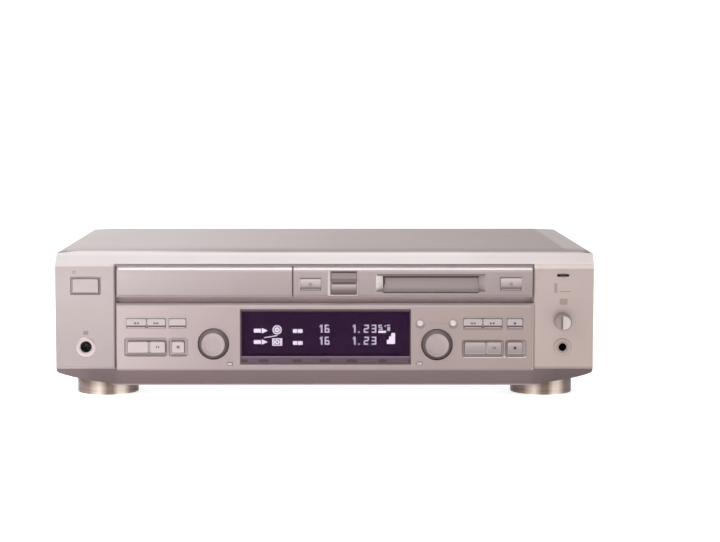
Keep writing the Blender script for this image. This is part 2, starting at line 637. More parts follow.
# upper row: arrow, disc, small block, 16, 1.23 and a small figure
seg(253.4, 328.9, 260.6, 332.7)
tri([(261.4, 328.0), (267.4, 330.8), (261.4, 333.6)])
seg(253.4, 340.4, 260.6, 344.2)
tri([(261.4, 339.6), (267.4, 342.3), (261.4, 345.0)])
# link line between the rows
tri([(264.0, 337.5), (277.0, 335.3), (277.0, 336.1), (264.0, 338.3)])


def ring_px(cx, cy, r1, r0, n=28):
    out = [px(cx + r1 * math.cos(2 * math.pi * i / n), cy + DY + r1 * math.sin(2 * math.pi * i / n)) for i in range(n)]
    inn = [px(cx + r0 * math.cos(2 * math.pi * i / n), cy + DY + r0 * math.sin(2 * math.pi * i / n)) for i in range(n)]
    ring_prism(bm, out, inn, Y0, Y1)


ring_px(276.8, 330.0, 4.6, 3.5)
ring_px(276.8, 330.0, 2.6, 0.9)
for a in ((271.9, 338.6, 281.9, 339.6), (271.9, 345.0, 281.9, 346.0), (271.9, 339.6, 272.9, 345.0), (280.9, 339.6, 281.9, 345.0)):
    seg(*a)
ring_px(276.9, 342.3, 2.3, 0.9)
seg(273.2, 339.9, 274.3, 344.7)
seg(279.5, 339.9, 280.6, 344.7)
for yy in (329.3, 341.4):
    seg(292.8, yy, 297.0, yy + 3.7)
    seg(297.6, yy, 302.4, yy + 3.7)
add_prism(bm, [px(x, y + DY) for x, y in ((387.2, 344.2), (395.4, 344.2), (395.4, 333.2), (391.6, 333.2), (391.6, 336.6), (389.4, 336.6),
                                          (389.4, 340.0), (387.2, 340.0))], Y0, Y1)
seg(378.6, 330.9, 386.4, 333.0)
to_obj("display_icons", bm, GLOW, "chassis", "tube_glass")
bm = bmesh.new()


def one(x, y, h):
    """narrow figure one with its flag"""
    seg(x + 2.2, y, x + 3.9, y + h)
    tri([(x + 0.3, y + 2.4), (x + 2.2, y + 0.2), (x + 2.2, y + 2.4)])


for yy, hh in ((324.7, 8.2), (336.9, 8.1)):
    one(318.6, yy, hh)
    digit("6", 324.6, yy, 4.9, hh)
    one(351.9, yy, hh)
    seg(358.3, yy + 6.8, 359.8, yy + hh)
    digit("2", 363.9, yy, 5.2, hh)
    digit("3", 371.2, yy, 5.4, hh)
digit("5", 378.6, 324.8, 4.2, 5.2, 1.1)
seg(385.0, 325.2, 386.0, 327.0)
seg(387.2, 324.8, 390.4, 326.0)
seg(387.6, 327.0, 390.4, 331.0)
to_obj("display_segments", bm, GLOW_DIM, "chassis", "tube_glass")

# printed strip along the foot of the window
STRIP = finish_mat("window_strip", (0.085, 0.052, 0.074), 0.1, 0.35, 0.05, 40.0, 2600.0, 0.06, edge=0.0)
STRIP_LINE = finish_mat("window_line", (0.165, 0.118, 0.150), 0.2, 0.32, 0.05, 40.0, 2600.0, 0.06, edge=0.0)
STRIP_MARK = finish_mat("window_marks", (0.040, 0.018, 0.034), 0.0, 0.35, 0.05, 40.0, 2600.0, 0.06, edge=0.0)
bm = bmesh.new()
add_prism(bm, box_pts(-66.95, 28.05, 68.75, 34.2), 0.34, 0.42)
to_obj("window_strip", bm, STRIP, "chassis", "dark_glass")
bm = bmesh.new()
add_prism(bm, box_pts(-66.95, 33.3, 68.75, 34.3), 0.30, 0.42)
to_obj("window_line", bm, STRIP_LINE, "chassis", "dark_glass")
bm = bmesh.new()
for xc, w in ((244.0, 7), (263.5, 10), (297, 9.5), (325, 11), (352, 11), (383, 9), (409.5, 3)):
    a, b = px(xc - w / 2, 362.9), px(xc + w / 2, 359.9)
    a, b = (max(a[0], -66.9), a[1]), (min(b[0], 68.7), b[1])
    add_prism(bm, round_pts(a[0], a[1], b[0], b[1], 0.9), 0.29, 0.40)
to_obj("window_marks", bm, STRIP_MARK, "chassis", "dark_glass")
# dark foot line, and the edge of the frame seen through the pane
FRAME_IN = finish_mat("window_frame_edge", (0.085, 0.050, 0.062), 0.1, 0.4, 0.06, 60.0, 2600.0, 0.05, edge=0.0)
bm = bmesh.new()
add_prism(bm, box_pts(-66.95, 28.02, 68.75, 29.2), 0.27, 0.40)
add_prism(bm, box_pts(-66.95, 70.35, 68.75, 71.55), 0.30, 0.42)
add_prism(bm, box_pts(-66.95, 34.6, -66.4, 70.35), 0.30, 0.42)
add_prism(bm, box_pts(68.2, 34.6, 68.75, 70.35), 0.30, 0.42)
to_obj("window_frame_edge", bm, FRAME_IN, "chassis", "dark_glass")

WIN_EDGE = finish_mat("window_bevel_top", (0.085, 0.062, 0.070), 0.1, 0.45, 0.05, 60.0, 2600.0, 0.05, edge=0.0)
WIN_FOOT = finish_mat("window_bevel_foot", (0.24, 0.195, 0.20), 0.1, 0.45, 0.05, 60.0, 2600.0, 0.05, edge=0.0)
b0 = bmesh.new()
rows_w = [[b0.verts.new(M(x_, y_, z_)) for y_, z_ in ((-0.02, 72.42), (0.6, 71.84), (0.66, 71.88), (0.04, 72.46))] for x_ in (-67.4, 69.2)]
b0.faces.new(rows_w[0])
b0.faces.new(list(reversed(rows_w[1])))
for k in range(4):
    b0.faces.new((rows_w[0][k], rows_w[1][k], rows_w[1][(k + 1) % 4], rows_w[0][(k + 1) % 4]))
to_obj("window_bevel_top", b0, WIN_EDGE, "chassis", "front_silver")
b0 = bmesh.new()
rows_w = [[b0.verts.new(M(x_, y_, z_)) for y_, z_ in ((-0.02, 27.18), (0.6, 27.77), (0.66, 27.73), (0.04, 27.14))] for x_ in (-67.4, 69.2)]
b0.faces.new(rows_w[0])
b0.faces.new(list(reversed(rows_w[1])))
for k in range(4):
    b0.faces.new((rows_w[0][k], rows_w[1][k], rows_w[1][(k + 1) % 4], rows_w[0][(k + 1) % 4]))
to_obj("window_bevel_foot", b0, WIN_FOOT, "chassis", "front_silver")

# =====================================================================
#  dials and knob
# =====================================================================
SKIRT = graded("dial_skirt", "Z", 0.031, 0.057, [(0.0, (0.105, 0.080, 0.082)), (0.4, (0.135, 0.105, 0.106)), (1.0, (0.245, 0.200, 0.202))], 0.4, 0.42)


def cap_mat(name, cx, cz, base):
    """turned face: fine rings about the dial's own axis"""
    m, nt, p = new_mat(name)
    tc = nt.nodes.new("ShaderNodeTexCoord")
    mp = nt.nodes.new("ShaderNodeMapping")
    mp.inputs["Location"].default_value = (-cx / 1000.0, 0.0, -cz / 1000.0)
    nt.links.new(tc.outputs["Object"], mp.inputs["Vector"])
    flat = nt.nodes.new("ShaderNodeVectorMath")
    flat.operation = "MULTIPLY"
    flat.inputs[1].default_value = (1.0, 0.0, 1.0)
    nt.links.new(mp.outputs["Vector"], flat.inputs[0])
    ln = nt.nodes.new("ShaderNodeVectorMath")
    ln.operation = "LENGTH"
    nt.links.new(flat.outputs["Vector"], ln.inputs[0])
    cmb = nt.nodes.new("ShaderNodeCombineXYZ")
    nt.links.new(ln.outputs["Value"], cmb.inputs["X"])
    rings = noise(nt, cmb.outputs["Vector"], 5200.0, 2.0, 0.7)
    patch = noise(nt, mp.outputs["Vector"], 120.0, 2.0)
    ad = nt.nodes.new("ShaderNodeMath")
    ad.operation = "MULTIPLY_ADD"
    ad.inputs[1].default_value = 0.35
    nt.links.new(patch, ad.inputs[0])
    nt.links.new(rings, ad.inputs[2])
    col = ramp(nt, ad.outputs[0], [(0.45, tint(base, 0.95)), (0.95, tint(base, 1.05))])
    nt.links.new(col, p.inputs["Base Color"])
    nt.links.new(span(nt, rings, 0.42, 0.54), p.inputs["Roughness"])
    p.inputs["Metallic"].default_value = 0.2
    bump(nt, p, rings, 0.25, 0.00003)
    return m


for tag, cx, cz in (("left", -88.9, 44.2), ("right", 90.1, 43.7)):
    skirt = lathe("dial_skirt_" + tag,
                  [(8.6, 2.4), (10.8, 2.5), (11.9, 2.5), (12.2, 2.2), (12.2, 0.7), (11.95, 0.1), (9.6, -3.1), (9.35, -3.25), (8.6, -3.1), (8.6, 2.4)],
                  cx, cz, 288, SKIRT, "dial_" + tag, "dial_metal", flutes=72, depth=0.20, band=(-3.2, 0.5))
    cap = lathe("dial_cap_" + tag,
                [(0.0, 2.4), (8.6, 2.4), (8.6, -3.0), (9.2, -3.2), (9.35, -3.5), (9.35, -4.1), (9.15, -4.45), (8.8, -4.55), (8.4, -4.42), (8.1, -4.2),
                 (5.0, -4.02), (0.0, -4.0)],
                cx, cz, 144, cap_mat("dial_face_" + tag, cx, cz, (0.385, 0.322, 0.322)), "dial_" + tag, "dial_metal")
    auto_smooth(skirt)
    auto_smooth(cap, 40)
    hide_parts("dial_" + tag)

# =====================================================================
#  feet: turned shells with a bright striped finish
# =====================================================================
def foot_mat():
    m, nt, p = new_mat("foot_turned")
    tc = nt.nodes.new("ShaderNodeTexCoord")
    g = nt.nodes.new("ShaderNodeTexGradient")
    g.gradient_type = "RADIAL"
    nt.links.new(tc.outputs["Object"], g.inputs["Vector"])
    dark, mid, bright = (0.08, 0.05, 0.05), (0.25, 0.18, 0.15), (0.85, 0.75, 0.65)
    bands = ((0.0, dark), (0.08, dark), (0.16, mid), (0.22, bright), (0.26, mid), (0.29, mid), (0.32, bright), (0.35, bright), (0.39, mid), (0.45, dark))
    stops = [(f + half, c) for half in (0.0, 0.5) for f, c in bands]
    col = ramp(nt, g.outputs["Fac"], stops)
    grain = noise(nt, coords(nt, (1, 1, 26)), 900.0, 2.0)
    mx = nt.nodes.new("ShaderNodeMix")
    mx.data_type = "RGBA"
    mx.blend_type = "MULTIPLY"
    nt.links.new(span(nt, grain, 0.0, 0.15), mx.inputs["Factor"])
    nt.links.new(col, mx.inputs["A"])
    mx.inputs["B"].default_value = (0.72, 0.68, 0.66, 1.0)
    nt.links.new(mx.outputs["Result"], p.inputs["Base Color"])
    p.inputs["Metallic"].default_value = 0.35
    nt.links.new(span(nt, grain, 0.32, 0.42), p.inputs["Roughness"])
    bump(nt, p, grain, 0.12, 0.00003)
    return m


FOOT = foot_mat()
RUBBER = finish_mat("foot_pad", (0.030, 0.029, 0.030), 0.0, 0.75, 0.18, 120.0, 2600.0, 0.5, edge=0.0)


def turned_z(name, prof, cx, cy, steps, material, body, turn=0.0):
    """(radius, z) profile turned about a vertical axis at (cx, cy mm from the front face)"""
    b = bmesh.new()
    rings = []
    for rr, z in prof:
        if rr < 1e-6:
            rings.append([b.verts.new((0, 0, z / 1000.0))])
        else:
            rings.append([b.verts.new((rr * math.cos(2 * math.pi * k / steps) / 1000.0, rr * math.sin(2 * math.pi * k / steps) / 1000.0, z / 1000.0))
                          for k in range(steps)])
    for a, c in zip(rings, rings[1:]):
        for k in range(steps):
            n = (k + 1) % steps
            if len(a) == 1:
                b.faces.new((a[0], c[k], c[n]))
            elif len(c) == 1:
                b.faces.new((a[k], a[n], c[0]))
            else:
                b.faces.new((a[k], a[n], c[n], c[k]))
    bmesh.ops.recalc_face_normals(b, faces=b.faces)
    me = bpy.data.meshes.new(name)
    b.to_mesh(me)
    b.free()
    me.materials.append(material)
    o = bpy.data.objects.new(name, me)
    scene.collection.objects.link(o)
    o.location = M(cx, cy, 0)
    o.rotation_euler = (0, 0, math.radians(turn))
    auto_smooth(o, 30)
    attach(o, body)
    return o


for k, (fx, fy, turn) in enumerate(((-178, 45, 0), (178, 45, -7), (-178, 235, 40), (178, 235, 75))):
    shell = turned_z("foot_shell_%d" % (k + 1),
                     [(0.0, 14.99), (20.0, 14.99), (20.0, 14.25), (24.1, 14.2), (24.7, 13.95), (24.98, 13.4), (25.0, 3.75), (24.8, 3.6), (24.8, 3.15),
                      (25.0, 3.0), (25.0, 0.6), (24.85, 0.25), (24.5, 0.1), (23.6, 0.1), (23.6, 1.0), (0.0, 1.0)],
                     fx, fy, 192, FOOT, "chassis", turn)
    pad_ = turned_z("foot_pad_%d" % (k + 1), [(0.0, 0.98), (23.3, 0.98), (23.4, 0.85), (23.4, 0.15), (23.2, 0.0), (0.0, 0.0)],
                    fx, fy, 128, RUBBER, "chassis")
    if k == 0:
        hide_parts("feet")

# =====================================================================
#  printed signs on the keys and the panel
# =====================================================================
def sign(name, body, front, shapes, material=None, lift=0.0):
    b = bmesh.new()
    for kind, a in shapes:
        if kind == "box":
            add_prism(b, box_pts(*a), front - 0.06 - lift, front + 0.10)
        elif kind == "tri":
            add_prism(b, a, front - 0.06, front + 0.10)
        elif kind == "disc":
            add_prism(b, disc_pts(*a), front - 0.06, front + 0.10)
        elif kind == "ring":
            cx, cz, r1, r0 = a
            n = 32
            ring_list = [[(cx + r * math.cos(2 * math.pi * i / n), cz + r * math.sin(2 * math.pi * i / n)) for i in range(n)]
                         for r in (r1, r0)]
            n_ = len(ring_list[0])
            rws = [[b.verts.new(M(x, y, z)) for x, z in pts] for pts, y in
                   ((ring_list[0], front - 0.06), (ring_list[0], front + 0.1), (ring_list[1], front + 0.1), (ring_list[1], front - 0.06))]
            for k in range(4):
                p1, q1 = rws[k], rws[(k + 1) % 4]
                for i in range(n_):
                    b.faces.new((p1[i], p1[(i + 1) % n_], q1[(i + 1) % n_], q1[i]))
    return to_obj(name, b, material or INK, body, slots.get(body, "key_silver") if body != "chassis" else "front_silver")


def skip(cx, cz, way, k=1.0):
    out = []
    for d in (-1.25, 1.05):
        c = cx + d * k
        out.append(("tri", [(c - way * 1.0 * k, cz - 1.1 * k), (c + way * 1.1 * k, cz), (c - way * 1.0 * k, cz + 1.1 * k)]))
    return out


# ---------------------------------------------------------------- dark recess between the panels
def strip_x(name, prof, x0, x1, material, body, slot_name):
    """closed (y, z) outline run along X"""
    b = bmesh.new()
    a = [b.verts.new(M(x0, y, z)) for y, z in prof]
    c = [b.verts.new(M(x1, y, z)) for y, z in prof]
    n = len(prof)
    b.faces.new(a)
    b.faces.new(list(reversed(c)))
    for k in range(n):
        b.faces.new((a[k], c[k], c[(k + 1) % n], a[(k + 1) % n]))
    return to_obj(name, b, material, body, slot_name)


def recess(name, x0, x1, top):
    strip_x(name, [(0.95, 76.92), (0.95, 77.0), (6.3, 77.0), (6.36, 77.06), (6.36, 77.1), (6.3, 77.04), (0.9, 77.04), (0.9, 76.92)],
            x0, x1, LEDGE, "chassis", "front_silver")
    strip_x(name + "_wall", [(6.36, 77.12), (6.36, top - 0.06), (6.42, top), (6.49, top), (6.49, 77.12)],
            x0, x1, RECESS, "chassis", "front_silver")


recess("recess_skin_a", -167.1, -40.6, 84.2)
recess("recess_skin_b", -40.6, -32.0, 82.1)
recess("recess_skin_c", -32.0, 167.1, 82.1)
# back and sides of the grooves beside the centre panels
for nm_, xa_, xb_ in (("left", -167.38, -166.0), ("right", 166.22, 167.38)):
    b = bmesh.new()
    if nm_ == "left":
        add_prism(b, box_pts(xa_, 77.3, xb_, 85.5), 2.5, 2.9)
        add_prism(b, box_pts(xa_, 88.7, xb_, 107.8), 2.5, 2.9)
    else:
        add_prism(b, box_pts(xa_, 77.3, xb_, 107.8), 2.5, 2.9)
    to_obj("groove_filler_" + nm_, b, GROOVE if nm_ == "left" else GROOVE_SOFT, "chassis", "front_silver")
for nm_, xa_, xb_, ya_ in (("left", -167.38, -166.16, 2.5), ("right", 166.16, 167.38, 0.7)):
    b = bmesh.new()
    add_prism(b, box_pts(xa_, 23.2, xb_, 76.8), ya_, ya_ + 0.4)
    to_obj("groove_foot_" + nm_, b, GROOVE_SOFT if nm_ == "left" else GROOVE_PALE, "chassis", "front_silver")
FOOT_EDGE = finish_mat("panel_foot", (0.300, 0.250, 0.248), 0.3, 0.4, 0.05, 60.0, 2600.0, 0.05, edge=0.0)
# sloping top edges of the upper panels: grey near the brow, then bright, then a soft band on the face
SLOPE = lambda z: (z - 103.3) / 3.4 * 2.5
for tag_, x0_, x1_, body_ in (("tray", -165.6, -26.0, "cd_tray"), ("fascia", -24.6, 166.0, "chassis")):
    strip_x(tag_ + "_edge_upper", [(SLOPE(105.15) - 0.02, 105.18), (2.49, 106.74), (2.6, 106.74), (2.6, 106.66), (SLOPE(105.15) + 0.06, 105.09)],
            x0_, x1_, EDGE_UP, body_, "front_silver")
    strip_x(tag_ + "_edge", [(SLOPE(103.75) - 0.02, 103.78), (SLOPE(105.15) - 0.02, 105.18), (SLOPE(105.15) + 0.06, 105.09), (SLOPE(103.75) + 0.06, 103.69)],
            x0_ + (1.3 if tag_ == "tray" else 0.0), x1_, CUT_A, body_, "front_silver")
    strip_x(tag_ + "_edge_soft", [(-0.035, 101.9), (-0.035, 103.3), (SLOPE(103.75) - 0.02, 103.77), (SLOPE(103.75) + 0.06, 103.7), (0.02, 103.2), (0.02, 101.86)],
            x0_ + 0.4, x1_, EDGE_SOFT, body_, "front_silver")
    # shaded lower edge
    strip_x(tag_ + "_foot", [(-0.03, 82.15), (-0.03, 83.75), (0.02, 83.85), (0.02, 82.08)], x0_ + 0.3, x1_ - 0.3, FOOT_EDGE, body_, "front_silver")
# closing strip in the gap under the brow
strip_x("brow_gap_strip", [(0.8, 106.95), (0.8, 108.22), (1.9, 108.22), (2.2, 107.84), (2.2, 106.95)], -167.0, 167.0, GAP_TOP, "chassis", "front_silver")
# darker chamfer along the top of the lower fascia
strip_x("lower_edge", [(-0.03, 75.3), (-0.03, 76.1), (0.77, 76.9), (0.83, 76.86), (0.02, 76.0), (0.02, 75.3)], -166.0, 166.0, CHAMFER_LOW, "chassis", "front_silver")
strip_x("lower_edge_soft", [(-0.025, 73.9), (-0.025, 75.28), (0.02, 75.28), (0.02, 73.9)], -165.6, 165.6, EDGE_DULL, "chassis", "front_silver")
strip_x("lower_foot_edge", [(-0.03, 23.15), (-0.03, 24.15), (0.02, 24.2), (0.02, 23.1)], -165.9, 165.9, CHAMFER_LOW, "chassis", "front_silver")
# shade in the gap between the tray front and the recorder's panel
b = bmesh.new()
add_prism(b, box_pts(-25.82, 82.2, -24.78, 85.5), 1.0, 1.4)
add_prism(b, box_pts(-25.82, 88.7, -24.78, 106.8), 1.0, 1.4)
to_obj("tray_gap_shade", b, GROOVE, "chassis", "front_silver")
b = bmesh.new()
add_prism(b, box_pts(-166.95, 85.6, -165.7, 88.6), 2.5, 2.9)
add_prism(b, box_pts(-26.0, 85.6, -24.95, 88.6), 1.0, 1.4)
to_obj("tray_side_tabs", b, GROOVE, "cd_tray", "front_silver")

# gasket where the cover meets the brow
b_ = bmesh.new()
line = [(-214.4, 116.40), (-210.0, 117.16), (210.0, 117.16), (214.4, 116.40)]
ra = [[b_.verts.new(M(x, y, z + dz)) for x, z in line] for y, dz in ((11.35, -0.02), (11.35, 0.10), (23.4, 0.10), (23.7, 0.05), (23.7, -0.02))]
for k in range(5):
    for i_ in range(3):
        b_.faces.new((ra[k][i_], ra[k][i_ + 1], ra[(k + 1) % 5][i_ + 1], ra[(k + 1) % 5][i_]))
for e_ in (0, 3):
    b_.faces.new([ra[k][e_] for k in range(5)])
to_obj("cover_gasket", b_, finish_mat("gasket", (0.20, 0.155, 0.165), 0.0, 0.5, 0.06, 40.0, 2400.0, 0.1, edge=0.0), "chassis", "cover_silver")


# ---------------------------------------------------------------- linings of wells, outlines of keys
def grow(b4, d):
    return (b4[0] - d, b4[1] - d, b4[2] + d, b4[3] + d)


def band(name, outer, ro, inner, ri, y0, y1, material, body="chassis", slot_name="front_silver"):
    b = bmesh.new()
    ring_prism(b, round_pts(*outer, ro), round_pts(*inner, ri), y0, y1)
    return to_obj(name, b, material, body, slot_name)


def tone(name, c, metallic=0.2, rough=0.42):
    return finish_mat(name, c, metallic, rough, 0.05, 60.0, 2600.0, 0.06, edge=0.0)


T_DARK = tone("line_dark", (0.190, 0.150, 0.150))
T_MID = tone("line_mid", (0.270, 0.225, 0.225))
T_SOFT = tone("line_soft", (0.360, 0.310, 0.310))
T_FAINT = tone("line_faint", (0.440, 0.385, 0.380))
T_WARM = tone("line_warm", (0.215, 0.165, 0.155))
T_LIP = tone("lip_pale", (0.60, 0.54, 0.52), 0.3, 0.36)


def frame4(name, outer, inner, y0, y1, mats, r=1.2, body="chassis", slot_name="front_silver"):
    """four bars round an opening, each in its own tone: left, top, right, bottom"""
    ox0, oz0, ox1, oz1 = outer
    ix0, iz0, ix1, iz1 = inner
    c = r * 0.3
    bars = (("l", [(ox0, oz0 + c), (ix0, iz0), (ix0, iz1), (ox0, oz1 - c)]),
            ("t", [(ox0 + c, oz1), (ox0, oz1 - c), (ix0, iz1), (ix1, iz1), (ox1, oz1 - c), (ox1 - c, oz1)]),
            ("r", [(ix1, iz0), (ox1, oz0 + c), (ox1, oz1 - c), (ix1, iz1)]),
            ("b", [(ox0 + c, oz0), (ox1 - c, oz0), (ox1, oz0 + c), (ix1, iz0), (ix0, iz0), (ox0, oz0 + c)]))
    for (k, pts), m_ in zip(bars, mats):
        if m_ is None:
            continue
        b = bmesh.new()
        add_prism(b, pts, y0, y1)
        to_obj(name + "_" + k, b, m_, body, slot_name)


wells = {"cd_low_a": ((-159.7, 34.5, -126.2, 48.7), (-157.4, 37.2, -127.5, 46.2), (T_SOFT, T_SOFT, T_MID, T_MID)),
         "cd_low_b": ((-124.2, 34.5, -109.7, 48.7), (-122.0, 37.2, -112.1, 46.2), (T_SOFT, T_SOFT, T_SOFT, T_SOFT)),
         "md_low_a": ((110.6, 34.0, 143.3, 47.0), (112.4, 36.2, 141.6, 45.6), (T_MID, T_MID, T_SOFT, T_MID)),
         "md_low_b": ((145.2, 34.0, 161.2, 47.0), (146.5, 36.2, 158.3, 45.6), (T_MID, T_MID, T_SOFT, T_MID))}
for nm_, (outer, inner, ms_) in wells.items():
    frame4("well_lining_" + nm_, grow(outer, -0.05), grow(inner, 0.27), 1.08, 1.19, ms_, 3.0)
# darker line along the foot of the band over the keys, and at the foot of the wells
b_ = bmesh.new()
add_prism(b_, box_pts(-157.6, 46.6, -127.6, 47.3), 1.0, 1.1)
add_prism(b_, box_pts(-122.2, 46.6, -112.0, 47.3), 1.0, 1.1)
add_prism(b_, box_pts(-158.4, 34.75, -127.4, 35.6), 1.0, 1.1)
add_prism(b_, box_pts(-123.0, 34.75, -111.0, 35.6), 1.0, 1.1)
to_obj("well_foot_lines", b_, T_DARK, "chassis", "front_silver")
rows_ = {"cd_row_a": ((-158.4, 57.2, -127.1, 64.7), (T_FAINT, T_FAINT, T_FAINT, T_SOFT), 0.5),
         "cd_row_b": ((-124.2, 57.2, -110.7, 64.7), (T_FAINT, T_FAINT, T_FAINT, T_SOFT), 0.5),
         "md_row_a": ((111.3, 57.1, 142.0, 64.7), (T_SOFT, None, T_SOFT, T_DARK), 0.5),
         "md_row_b": ((146.2, 57.1, 158.5, 64.7), (T_SOFT, None, T_SOFT, T_DARK), 0.5),
         "cd_open": ((-19.5, 87.5, -2.7, 96.6), (T_LIP, T_MID, T_LIP, None), 0.55),
         "md_open": ((140.5, 87.5, 157.6, 97.2), (None, T_MID, T_LIP, T_MID), 0.55),
         "dub_a": ((5.3, 93.8, 25.6, 101.7), (None, T_DARK, T_LIP, T_MID), 0.55),
         "dub_b": ((5.3, 83.9, 25.6, 92.4), (None, None, T_LIP, T_LIP), 0.75)}
for nm_, (inner, ms_, w_) in rows_.items():
    frame4("key_outline_" + nm_, grow(inner, 0.24 + w_), grow(inner, 0.22), -0.035, 0.02, ms_, 1.6)
# soft shade under the right row of keys
for nm_, (x0_, z0_, x1_), m_ in (("md_a", (111.0, 55.4, 142.3), T_MID), ("md_b", (145.9, 55.4, 158.8), T_MID)):
    b_ = bmesh.new()
    add_prism(b_, round_pts(x0_, z0_, x1_, 57.0, 0.5), -0.04, 0.02)
    to_obj("row_foot_" + nm_, b_, m_, "chassis", "front_silver")
KEY_UNDER = graded("key_under_tone", "Z", 0.0572, 0.0594, [(0.0, (0.06, 0.045, 0.045)), (0.45, (0.09, 0.07, 0.07)), (1.0, (0.18, 0.14, 0.14))], 0.2, 0.45)
KEY_UNDER_R = graded("key_under_right", "Z", 0.0570, 0.0594, [(0.0, (0.06, 0.045, 0.04)), (0.45, (0.08, 0.06, 0.06)), (1.0, (0.15, 0.12, 0.11))], 0.2, 0.45)
# lower edges of the upper keys turn under, away from the light
for nm_, bd_, x0_, x1_, z0_ in (("a", "cd_key_mode", -158.2, -142.6, 57.5), ("b", "cd_key_display", -141.4, -127.3, 57.5), ("c", "cd_key_repeat", -124.0, -110.9, 57.5),
                                ("d", "md_key_mode", 111.5, 126.0, 57.4), ("e", "md_key_display", 127.2, 141.8, 57.4), ("f", "md_key_record", 146.4, 158.3, 57.4)):
    strip_x("key_under_" + nm_, [(-0.55, z0_ - 0.22), (-0.92, z0_ - 0.08), (-1.16, z0_ + 0.2), (-1.25, z0_ + 0.6), (-1.25, z0_ + 1.75), (-1.19, z0_ + 1.85), (-0.5, z0_ - 0.1)],
            x0_, x1_, KEY_UNDER if nm_ in "abc" else KEY_UNDER_R, bd_, "key_silver")
# faces of the lower keys on the right fall away from the light
KEY_FALL = graded("key_fall", "Z", 0.0362, 0.0456, [(0.0, (0.30, 0.25, 0.25)), (0.6, (0.37, 0.32, 0.31)), (1.0, (0.52, 0.45, 0.44))], 0.3, 0.4)
for nm_, bd_, x0_, x1_, z0_, z1_ in (("a", "md_key_play", 112.9, 128.5, 36.7, 45.1), ("b", "md_key_pause", 130.7, 141.1, 36.7, 45.1),
                                     ("c", "md_key_stop", 147.0, 157.8, 36.7, 45.1)):
    b_ = bmesh.new()
    add_prism(b_, round_pts(x0_, z0_, x1_, z1_, 0.5), -0.93, -0.80)
    to_obj("key_fall_" + nm_, b_, KEY_FALL, bd_, "key_silver")
# closing strips in the gaps between neighbouring keys
for nm_, x_, w_, z0_, z1_ in (("a", -142.0, 0.30, 57.3, 64.6), ("b", -140.25, 0.62, 37.3, 46.1), ("c", 126.6, 0.30, 57.2, 64.6), ("d", 129.6, 0.50, 36.3, 45.5)):
    b_ = bmesh.new()
    add_prism(b_, box_pts(x_ - w_, z0_, x_ + w_, z1_), -0.55, 0.6)
    to_obj("key_gap_" + nm_, b_, T_SOFT, "chassis", "front_silver")

# bright lips under the right wells
b_ = bmesh.new()
add_prism(b_, round_pts(111.6, 33.0, 142.6, 33.75, 0.3), -0.04, 0.02)
add_prism(b_, round_pts(146.2, 33.0, 160.4, 33.75, 0.3), -0.04, 0.02)
to_obj("well_lips", b_, T_LIP, "chassis", "front_silver")
b_ = bmesh.new()
add_prism(b_, round_pts(143.2, 33.1, 145.0, 34.5, 0.6), -0.04, 0.02)
add_prism(b_, round_pts(160.0, 33.1, 161.4, 34.3, 0.6), -0.04, 0.02)
to_obj("well_corners", b_, T_LIP, "chassis", "front_silver")

# ---------------------------------------------------------------- slot mouth
def prism_z(name, pts, z0, z1, material, body="chassis", slot_name="front_silver"):
    """closed (x, y) outline between two heights"""
    b = bmesh.new()
    a = [b.verts.new(M(x, y, z0)) for x, y in pts]
    c = [b.verts.new(M(x, y, z1)) for x, y in pts]
    n = len(pts)
    b.faces.new(a)
    b.faces.new(list(reversed(c)))
    for k in range(n):
        b.faces.new((a[k], c[k], c[(k + 1) % n], a[(k + 1) % n]))
    return to_obj(name, b, material, body, slot_name)


SLOT_R = graded("slot_right_cut", "Z", 0.0864, 0.0988, [(0.0, (0.30, 0.26, 0.255)), (0.5, (0.36, 0.31, 0.305)), (1.0, (0.33, 0.28, 0.275))], 0.3, 0.36)
SLOT_L = graded("slot_left_cut", "Z", 0.0864, 0.0988, [(0.0, (0.40, 0.35, 0.34)), (0.3, (0.80, 0.75, 0.73)), (1.0, (0.92, 0.88, 0.86))], 0.3, 0.3)
prism_z("slot_bevel_left", [(41.25, -0.01), (46.85, 4.9), (46.89, 4.99), (46.89, 5.04), (41.15, 0.02)], 86.36, 98.84, SLOT_L)
# shaded band over the slot
b_ = bmesh.new()
add_prism(b_, round_pts(42.2, 98.95, 128.4, 100.5, 0.4), -0.035, 0.02)
to_obj("slot_over_band", b_, T_DARK, "chassis", "front_silver")
prism_z("slot_bevel_right", [(128.95, -0.01), (123.35, 4.9), (123.31, 4.99), (123.31, 5.04), (129.05, 0.02)], 86.36, 98.84, SLOT_R)
b_ = bmesh.new()
add_prism(b_, box_pts(46.95, 97.0, 123.25, 98.84), 4.2, 5.7)
add_prism(b_, [(46.95, 89.2), (47.5, 89.2), (48.5, 93.0), (48.5, 97.3), (46.95, 97.3)], 5.2, 5.7)
to_obj("slot_brush", b_, BRUSH, "chassis", "front_silver")
b_ = bmesh.new()
add_prism(b_, box_pts(46.95, 86.36, 123.25, 86.55), 0.5, 5.1)
to_obj("slot_sill", b_, T_LIP, "chassis", "front_silver")

# pale bar beside the two stacked keys and lip between them
b_ = bmesh.new()
add_prism(b_, round_pts(2.7, 83.2, 4.6, 103.2, 0.4), -0.06, 0.02)
to_obj("frame_bar", b_, T_LIP, "chassis", "front_silver")
b_ = bmesh.new()
add_prism(b_, round_pts(5.3, 92.75, 25.6, 93.45, 0.3), -0.06, 0.02)
to_obj("dub_lip", b_, T_MID, "chassis", "front_silver")
